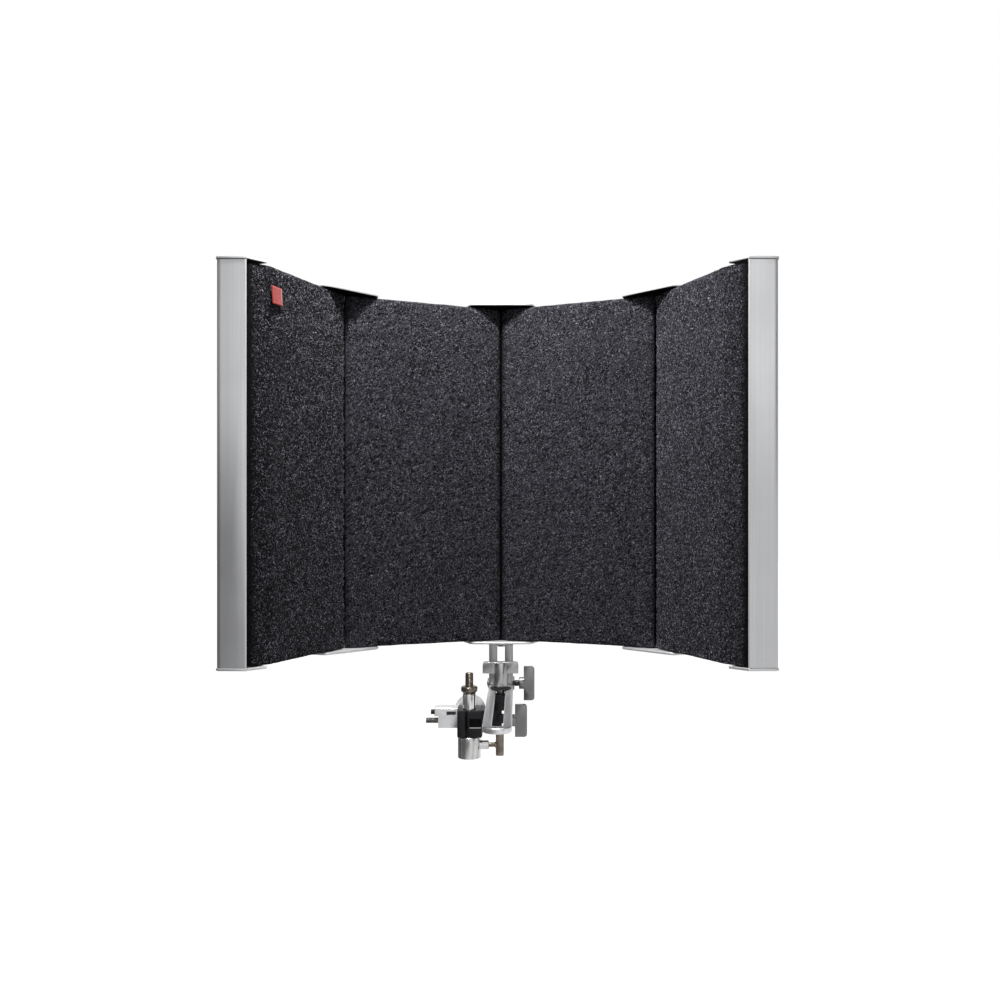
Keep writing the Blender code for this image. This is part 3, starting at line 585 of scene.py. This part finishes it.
def perforated_sheet(word):
    """The back sheet as real perforated metal."""
    node = f"sheet_{word}"
    centre, along, across, half_long, half_thick = slab_frame(node)
    low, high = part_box(node)
    half_high = (high.z - low.z) / 2
    columns = int((half_long - SHEET_MARGIN) * 2 / HOLE_PITCH)
    rows = int((half_high - SHEET_MARGIN) * 2 / HOLE_PITCH)
    field = (columns * HOLE_PITCH / 2, rows * HOLE_PITCH / 2)
    turn = np.arange(HOLE_SIDES) * 2 * math.pi / HOLE_SIDES
    circle = np.stack([np.cos(turn), np.sin(turn)], 1)
    square = circle / np.abs(circle).max(1)[:, None] * HOLE_PITCH / 2
    ring = np.concatenate([square, circle * HOLE_RADIUS])
    cells = [((i + 0.5) * HOLE_PITCH - field[0], (k + 0.5) * HOLE_PITCH - field[1])
             for i in range(columns) for k in range(rows)]
    flat = ring[None] + np.array(cells)[:, None]
    n = HOLE_SIDES
    step = [(j, (j + 1) % n) for j in range(n)]
    front = [(j, m, m + n, j + n) for j, m in step]
    back = [(2 * n + j, 3 * n + j, 3 * n + m, 2 * n + m) for j, m in step]
    wall = [(n + j, n + m, 3 * n + m, 3 * n + j) for j, m in step]
    quads = np.array(front + back + wall)
    both = np.concatenate([flat, flat], 1)
    depth = np.concatenate([np.full(2 * n, half_thick), np.full(2 * n, -half_thick)])
    depth = np.broadcast_to(depth, both.shape[:2])
    verts = np.concatenate([both, depth[..., None]], 2).reshape(-1, 3)
    faces = (quads[None] + np.arange(len(cells))[:, None, None] * 4 * n).reshape(-1, 4)
    edge_u = (-half_long, -field[0], field[0], half_long)
    edge_v = (-half_high, -field[1], field[1], half_high)
    border_v, border_f = [], []
    for i in range(3):
        for k in range(3):
            if i == 1 and k == 1:
                continue
            corners = [(edge_u[i], edge_v[k]), (edge_u[i + 1], edge_v[k]),
                       (edge_u[i + 1], edge_v[k + 1]), (edge_u[i], edge_v[k + 1])]
            for t, order in ((half_thick, (0, 1, 2, 3)), (-half_thick, (3, 2, 1, 0))):
                start = len(border_v)
                border_v += [(u, v, t) for u, v in corners]
                border_f.append([start + o for o in order])
    rim = [(-half_long, -half_high), (half_long, -half_high)]
    rim += [(half_long, half_high), (-half_long, half_high)]
    for j in range(4):
        m = (j + 1) % 4
        start = len(border_v)
        border_v += [(*rim[j], half_thick), (*rim[j], -half_thick)]
        border_v += [(*rim[m], -half_thick), (*rim[m], half_thick)]
        border_f.append([start, start + 1, start + 2, start + 3])
    faces = np.concatenate([faces, np.array(border_f) + len(verts)])
    verts = np.concatenate([verts, np.array(border_v)])
    axes = np.array([(*along, 0.0), (0.0, 0.0, 1.0), (*across, 0.0)])
    obj = quick_mesh(f"perforated_{word}", verts @ axes + centre, faces, MATERIALS["perforated_sheet"])
    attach(obj, "shield")
    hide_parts(node)


def helix(name, origin, axis, radius, start, end, mat, body):
    """A thread ridge wound on a rod, between start and end along its axis."""
    steps = THREAD_STEPS
    count = int((end - start) / THREAD_PITCH * steps)
    turn = Vector((0, 0, 1)).rotation_difference(Vector(axis)).to_matrix()
    verts, faces = [], []
    for i in range(count + 1):
        a = 2 * math.pi * i / steps
        z = start + THREAD_PITCH * i / steps
        grow = min(1.0, i / steps, (count - i) / steps)
        crest = radius + THREAD_DEPTH * grow
        root = radius - THREAD_ROOT
        for r, dz in ((root, -THREAD_FOOT), (crest, 0.0), (root, THREAD_FOOT)):
            point = Vector((r * math.cos(a), r * math.sin(a), z + dz * THREAD_PITCH))
            verts.append(turn @ point + Vector(origin))
    for i in range(count):
        for k in range(3):
            m = (k + 1) % 3
            faces.append((3 * i + k, 3 * i + 3 + k, 3 * i + 3 + m, 3 * i + m))
    faces += [(2, 1, 0), (3 * count, 3 * count + 1, 3 * count + 2)]
    mesh_object(name, verts, faces, mat, body, True)


# ---------------------------------------------------------------- the shield

def pillar_tip(word):
    """The two front vertices of a corner pillar, nearest to the microphone, seen from above."""
    co = np.array([v.co for v in nodes[f"pillar_{word}"].data.vertices])[:, :2]
    corners = np.unique(np.round(co, 4), axis=0)
    return corners[np.argsort(np.linalg.norm(corners - MIC_SPOT[:2], axis=1))[:2]]


def rail_tip(word):
    """The inner front corner of an end rail, seen from above."""
    co = np.array([v.co for v in nodes[f"pillar_{word}"].data.vertices])[:, :2]
    reach = np.abs(co[:, 0] - MIC_SPOT[0]) + (co[:, 1] - co[:, 1].min())
    return co[np.argmin(reach)]


def shade_joints(pad):
    """Store on the pad how clear of a joint's painted shade each vertex is: low beside a pillar or a rail, 1
    in the open.
    """
    co = np.empty(len(pad.data.vertices) * 3)
    pad.data.vertices.foreach_get("co", co)
    flat = co.reshape(-1, 3)[:, :2]
    clear = np.ones(len(flat))
    spots = [(pillar_tip(word).mean(0), SEAM_SHADE) for word in CORNERS]
    spots += [(rail_tip(word), RAIL_SHADE) for word in RAILS]
    for spot, (near, far) in spots:
        ramp = np.clip((np.linalg.norm(flat - spot, axis=1) - near) / (far - near), 0, 1)
        clear = np.minimum(clear, SHADE_FLOOR + (1 - SHADE_FLOOR) * ramp * ramp * (3 - 2 * ramp))
    layer = pad.data.attributes.new("clear", "FLOAT", "POINT")
    layer.data.foreach_set("value", clear)


def build_panels():
    loose = fibre_material()
    for word in PANELS:
        # painted shade: the left outer panel's light colour is darkened
        light = tuple(c * FELT_PAINTED_SHADE[word] for c in FELT_LIGHT)
        felt = felt_material(f"felt_{word}", FELT_DARK, light, True)
        pad = soft_copy(f"pad_{word}", f"felt_{word}", felt, PAD_VOXEL, PAD_LUMP, PAD_ROUNDS)
        shade_joints(pad)
        fibres(f"fibres_{word}", pad, loose, MIC_SPOT)
        wool = MATERIALS["wool_core"]
        soft_copy(f"wool_{word}", f"core_{word}", wool, WOOL_VOXEL, PAD_LUMP, WOOL_ROUNDS)
        perforated_sheet(word)


def finish_hard_nodes():
    """Rigid CAD nodes get their procedural material, and most get fine broken edges."""
    for name, node in nodes.items():
        slot = SLOTS[name]
        if slot not in MATERIALS:
            continue
        node.data.materials.clear()
        node.data.materials.append(MATERIALS[slot])
        if slot not in BEVELS or node.hide_render:
            continue
        weld = node.modifiers.new("weld", "WELD")
        weld.merge_threshold = WELD_GAP
        edge = node.modifiers.new("edge", "BEVEL")
        edge.width = BEVELS[slot] * MM
        edge.segments = 2
        edge.limit_method = "ANGLE"
        edge.angle_limit = BEVEL_ANGLE
        edge.harden_normals = True
        node.data.shade_smooth()


def finish_special_nodes():
    """Nodes that differ from the rest of their slot."""
    for word in CORNERS:
        tip = pillar_tip(word).mean(0)
        sunk = pillar_shade_material(f"sunk_pillar_{word}", MATERIALS["brushed_pillar"], tip)
        nodes[f"pillar_{word}"].data.materials[0] = sunk
    dark_cap = dark_underside_cap_material("dark_underside_cap", MATERIALS["satin_cap"])
    for name in [n for n in nodes if n.startswith("cap_top_")]:
        nodes[name].data.materials[0] = dark_cap
    # painted shade: the tilt and clamp knobs get a darker copy of the knob alloy, standing for the darker
    # reflections their crowned faces show
    shaded_knob_copy = brushed_material("shaded_knob", (0.24, 0.24, 0.243), 0.27, TURNED_GRAIN)
    for name in ("tilt_knob", "clamp_knob"):
        nodes[name].data.materials[0] = shaded_knob_copy
    pale = brushed_material("pale_disc", (1.0, 1.0, 1.0), 0.5, DEEP_GRAIN, 0.0)
    nodes["clamp_disc"].data.materials[0] = pale


def build_tag():
    """A plain woven tag, stitched on by its upper edge so that it stands a little proud."""
    low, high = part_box("fabric_tag")
    centre, along, across, half_long, _ = slab_frame("fabric_tag")
    look = MIC_SPOT[:2] - centre[:2]
    if across @ look < 0:
        across = -across
    half_high = (high.z - low.z) / 2
    verts, faces = [], []
    across_steps, up_steps = TAG_STEPS
    stitched, free, crown = TAG_PROUD
    for k in range(up_steps + 1):
        v = k / up_steps
        for i in range(across_steps + 1):
            u = i / across_steps * 2 - 1
            proud = stitched + free * (1 - v) ** 1.5 + crown * math.cos(u * 2.2)
            spot = centre[:2] + along * u * half_long * TAG_FILL[0] + across * proud
            verts.append((*spot, centre[2] + (v * 2 - 1) * half_high * TAG_FILL[1]))
    row = across_steps + 1
    for k in range(up_steps):
        for i in range(across_steps):
            faces.append((k * row + i, k * row + i + 1, (k + 1) * row + i + 1, (k + 1) * row + i))
    tag = mesh_object("plain_tag", verts, faces, MATERIALS["red_tag"], "shield", True)
    thick = tag.modifiers.new("thickness", "SOLIDIFY")
    thick.thickness = TAG_THICK
    thick.offset = 0.0
    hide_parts("fabric_tag")


def block(name, base, rise, mat, body):
    """A closed block: four base corners in turn, raised by rise along Z."""
    verts = list(base) + [(x, y, z + rise) for x, y, z in base]
    faces = [(0, 1, 5, 4), (1, 2, 6, 5), (2, 3, 7, 6), (3, 0, 4, 7), (3, 2, 1, 0), (4, 5, 6, 7)]
    mesh_object(name, verts, faces, mat, body)


def box(name, low, high, mat, body):
    base = [(low[0], low[1], low[2]), (high[0], low[1], low[2])]
    base += [(high[0], high[1], low[2]), (low[0], high[1], low[2])]
    block(name, base, high[2] - low[2], mat, body)


def build_seams():
    """A near-black strip behind each joint, painted shade for the shadow in the gap between the felts; wide
    enough to end inside the rounded felts.
    """
    strip = felt_material("seam_shadow", (0.001, 0.001, 0.001), (0.004, 0.004, 0.004))
    for word in CORNERS:
        low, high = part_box(f"pillar_{word}")
        first, second = pillar_tip(word)
        tip = (first + second) / 2
        across = (second - first) / np.linalg.norm(second - first)
        toward = np.array((-across[1], across[0]))
        toward *= np.sign(toward @ (MIC_SPOT[:2] - tip))
        (near, slim), (deep, wide) = SEAM_FRONT, SEAM_REAR
        section = ((near, -slim), (near, slim), (deep, wide), (deep, -wide))
        base = [(*(tip + toward * d + across * w), low.z) for d, w in section]
        block(f"seam_{word}", base, high.z - low.z, strip, "shield")


def build_rail_highlights():
    """A painted highlight along the inner front corner of each end rail: a white strip set proud of the rail
    for the glint on its broken edge.
    """
    bright = brushed_material("rail_highlight_paint", (1.0, 1.0, 1.0), 0.4, UP_GRAIN, 0.0, 0.3)
    for word, side in (("left_end", 1), ("right_end", -1)):
        low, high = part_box(f"pillar_{word}")
        tip = rail_tip(word)
        turn = EDGE_HEADING * side
        facing = np.array((math.sin(turn), -math.cos(turn)))
        across = np.array((-facing[1], facing[0])) * EDGE_WIDTH / 2
        middle = tip + facing * EDGE_PROUD
        section = ((-1, 0), (1, 0), (1, -EDGE_DEPTH), (-1, -EDGE_DEPTH))
        base = [(*(middle + across * a + facing * b), low.z) for a, b in section]
        block(f"rail_edge_{word}", base, high.z - low.z, bright, "shield")


def ring(name, origin, axis, inner, outer, start, end, mat, body, slot):
    """A plain sleeve on a rod, between start and end along its axis."""
    steps = SLEEVE_STEPS
    turn = Vector((0, 0, 1)).rotation_difference(Vector(axis)).to_matrix()
    section = [(inner, start), (outer, start), (outer, end), (inner, end)]
    verts = []
    for i in range(steps):
        a = 2 * math.pi * i / steps
        verts += [turn @ Vector((r * math.cos(a), r * math.sin(a), z)) + Vector(origin) for r, z in section]
    faces = []
    for i in range(steps):
        here, there = 4 * i, 4 * ((i + 1) % steps)
        faces += [(here + k, there + k, there + (k + 1) % 4, here + (k + 1) % 4) for k in range(4)]
    mesh_object(name, verts, faces, mat, body)


def build_sleeve():
    """The tilt knob's black sleeve, from the rubber washer to the knob's hub."""
    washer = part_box("tilt_washer")
    hub_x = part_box("tilt_knob")[1].x - HUB_LENGTH
    centre = (washer[0] + washer[1]) / 2
    ring("tilt_sleeve", (0, centre.y, centre.z), (1, 0, 0), *SLEEVE_R, washer[1].x + SLEEVE_GAP, hub_x,
         MATERIALS["black_rod"], "tilt_knob", "black_rod")


def build_jaw_window():
    """Painted shade on the floor of the fixed jaw's window, a near-black matte plate, and a painted
    highlight below it, a pale alloy strip along the window's lower edge.
    """
    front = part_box("clamp_body")[0].y
    (x0, x1), (z0, z1) = WINDOW_X, WINDOW_Z
    black = cast_material("recess_shadow", (0.001, 0.001, 0.001), 0.9)
    y = front + WINDOW_DEPTH
    box("jaw_recess", (x0, y, z0), (x1, y + PLATE_T, z1), black, "stand_clamp")
    setback, deep, tall = WINDOW_EDGE
    y = front + setback
    top = (x1, y + deep, z0 + tall)
    box("jaw_window_highlight", (x0, y, z0), top, MATERIALS["arm_alloy"], "stand_clamp")


def build_carrier_slot():
    """The grey floor of the slot in the front of the jaw carrier: painted shade in the slot."""
    low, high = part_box("jaw_carrier")
    grey = cast_material("slot_shadow", (0.10, 0.10, 0.10), 0.6)
    y = low.y + SLOT_DEPTH
    start = (low.x + SLOT_X[0], y, high.z - SLOT_DROP[0])
    end = (low.x + SLOT_X[1], y + PLATE_T, high.z - SLOT_DROP[1])
    box("carrier_slot", start, end, grey, "jaw")


def build_threads():
    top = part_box("mic_post")[1].z
    helix("mic_thread", (0, 0, 0), (0, 0, 1), STUD_R, top - MIC_THREAD[0], top - MIC_THREAD[1],
          MATERIALS["dark_nickel"], "stand_clamp")
    low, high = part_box("clamp_knob")
    axis_y = (low.y + high.y) / 2
    axis_z = (low.z + high.z) / 2
    start, end = low.x + CLAMP_THREAD[0], low.x + CLAMP_THREAD[1]
    helix("clamp_thread", (0, axis_y, axis_z), (1, 0, 0), CLAMP_ROD_R, start, end,
          MATERIALS["dark_nickel"], "clamp_knob")


def socket_marks():
    """A near-black hexagon on each cap screw's head: painted shade for the recess of its hex socket."""
    dark = cast_material("screw_socket", (0.006, 0.006, 0.006), 0.6)
    for name in [n for n in nodes if n.startswith("screw_")]:
        low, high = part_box(name)
        up = 1.0 if "_top_" in name else -1.0
        centre = Vector(((low.x + high.x) / 2, (low.y + high.y) / 2, high.z if up > 0 else low.z))
        bm = bmesh.new()
        bmesh.ops.create_cone(bm, segments=6, radius1=HEX_R, radius2=HEX_R, depth=HEX_T, cap_ends=True)
        bmesh.ops.translate(bm, verts=bm.verts, vec=centre - Vector((0, 0, up * HEX_SUNK)))
        mesh = bpy.data.meshes.new(f"socket_{name}")
        bm.to_mesh(mesh)
        bm.free()
        mesh.materials.append(dark)
        obj = bpy.data.objects.new(f"socket_{name}", mesh)
        bpy.context.scene.collection.objects.link(obj)
        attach(obj, "shield")


# ------------------------------------------------------------ stage and camera

def area_light(name, place, aim, size, power):
    lamp = bpy.data.lights.new(name, "AREA")
    lamp.shape = "DISK"
    lamp.size = size
    lamp.energy = power
    obj = bpy.data.objects.new(name, lamp)
    obj.visible_camera = False
    obj.location = place
    obj.rotation_euler = (Vector(aim) - Vector(place)).to_track_quat("-Z", "Y").to_euler()
    bpy.context.scene.collection.objects.link(obj)


def carded(s, heading):
    """How much light is left at a heading once the dark upright cards are in place."""
    left = 1.0
    for middle, half, low in DARK_CARDS:
        away = s.math("ABSOLUTE", s.math("SUBTRACT", heading, middle))
        left = s.math("MULTIPLY", s.span(away, half * 0.7, half * 1.3, low, 1.0), left)
    return left


def build_world():
    """White to the camera; for everything else a studio that is bright above and behind, dim in front."""
    world = bpy.data.worlds.new("studio")
    bpy.context.scene.world = world
    world.use_nodes = True
    s = Shader("studio", world.node_tree)
    background = s.tree.nodes["Background"]
    direction = s.new("ShaderNodeNewGeometry").outputs["Incoming"]
    split = s.new("ShaderNodeSeparateXYZ")
    s.put(split.inputs[0], direction)
    # Incoming points back along the ray, so each ray's own direction is its negative
    x, y, z = (s.math("MULTIPLY", split.outputs[axis], -1.0) for axis in "XYZ")
    slope = s.math("SUBTRACT", FRONT_RISE, s.math("MULTIPLY", x, FRONT_TWIST))
    front = s.math("ADD", s.math("MULTIPLY", x, FRONT_SIDE), s.math("MULTIPLY", z, slope))
    front = s.math("MINIMUM", s.math("MAXIMUM", s.math("ADD", front, FRONT_LEVEL), FRONT_LEAST), 1.0)
    facing = s.span(y, 0.1, -0.75, 0.0, 1.0)
    level = s.math("ADD", s.math("MULTIPLY", front, facing),
                   s.math("MULTIPLY", s.math("SUBTRACT", 1.0, facing), WORLD_BRIGHT))
    heading = s.math("ARCTAN2", x, s.math("MULTIPLY", y, -1.0))
    level = s.math("MULTIPLY", level, carded(s, heading))
    path = s.new("ShaderNodeLightPath").outputs
    ambient = s.math("MULTIPLY", path["Is Diffuse Ray"], WORLD_AMBIENT)
    shine = s.math("MULTIPLY", level, s.math("SUBTRACT", 1.0, path["Is Diffuse Ray"]))
    level = s.math("ADD", shine, ambient)
    s.put(background.inputs["Strength"], s.math("MAXIMUM", level, path["Is Camera Ray"]))
    background.inputs["Color"].default_value = (1.0, 1.0, 1.0, 1.0)


def build_floor():
    """White to the camera; glossy surfaces see it dim, brighter to the right, with the same dark cards."""
    material = Shader("floor")
    speck = material.noise(3.0, 2.0)
    path = material.new("ShaderNodeLightPath").outputs
    place = material.new("ShaderNodeSeparateXYZ")
    material.put(place.inputs[0], material.new("ShaderNodeNewGeometry").outputs["Position"])
    sideways = material.span(place.outputs["X"], -FLOOR_REACH, FLOOR_REACH, *FLOOR_SHEEN)
    glow = material.math("ADD", material.math("MULTIPLY", path["Is Camera Ray"], FLOOR_GLOW),
                         material.math("MULTIPLY", path["Is Glossy Ray"], sideways))
    heading = material.math("ARCTAN2", place.outputs["X"],
                            material.math("MULTIPLY", place.outputs["Y"], -1.0))
    hidden = material.math("MULTIPLY", path["Is Glossy Ray"],
                           material.math("SUBTRACT", 1.0, carded(material, heading)))
    paper = material.mix(speck, (0.92, 0.92, 0.92), (0.95, 0.95, 0.95))
    material.surface(Base_Color=material.mix(hidden, paper, (0.02, 0.02, 0.02)), Roughness=0.8,
                     Emission_Color=(1.0, 1.0, 1.0), Emission_Strength=glow)
    bpy.ops.mesh.primitive_plane_add(size=FLOOR_SIZE, location=(0, 0, cad_box[0][2] - FLOOR_DROP))
    floor = bpy.context.object
    floor.name = "floor"
    floor.data.materials.append(material.mat)


def build_camera():
    """Level, in front of the shield and a little to its right."""
    lens = bpy.data.cameras.new("camera")
    lens.lens = CAMERA_LENS
    lens.sensor_width = 36.0
    lens.shift_x, lens.shift_y = CAMERA_SHIFT
    camera = bpy.data.objects.new("camera", lens)
    camera.location = CAMERA_SPOT
    camera.rotation_euler = (math.radians(90), 0, 0)
    bpy.context.scene.collection.objects.link(camera)
    bpy.context.scene.camera = camera


build_panels()
finish_hard_nodes()
finish_special_nodes()
build_tag()
build_threads()
build_seams()
build_rail_highlights()
build_sleeve()
build_jaw_window()
build_carrier_slot()
socket_marks()
build_world()
build_floor()
for lamp_name, lamp_values in LIGHTS.items():
    area_light(lamp_name, *lamp_values)
build_camera()
bpy.context.scene.view_settings.view_transform = "Standard"
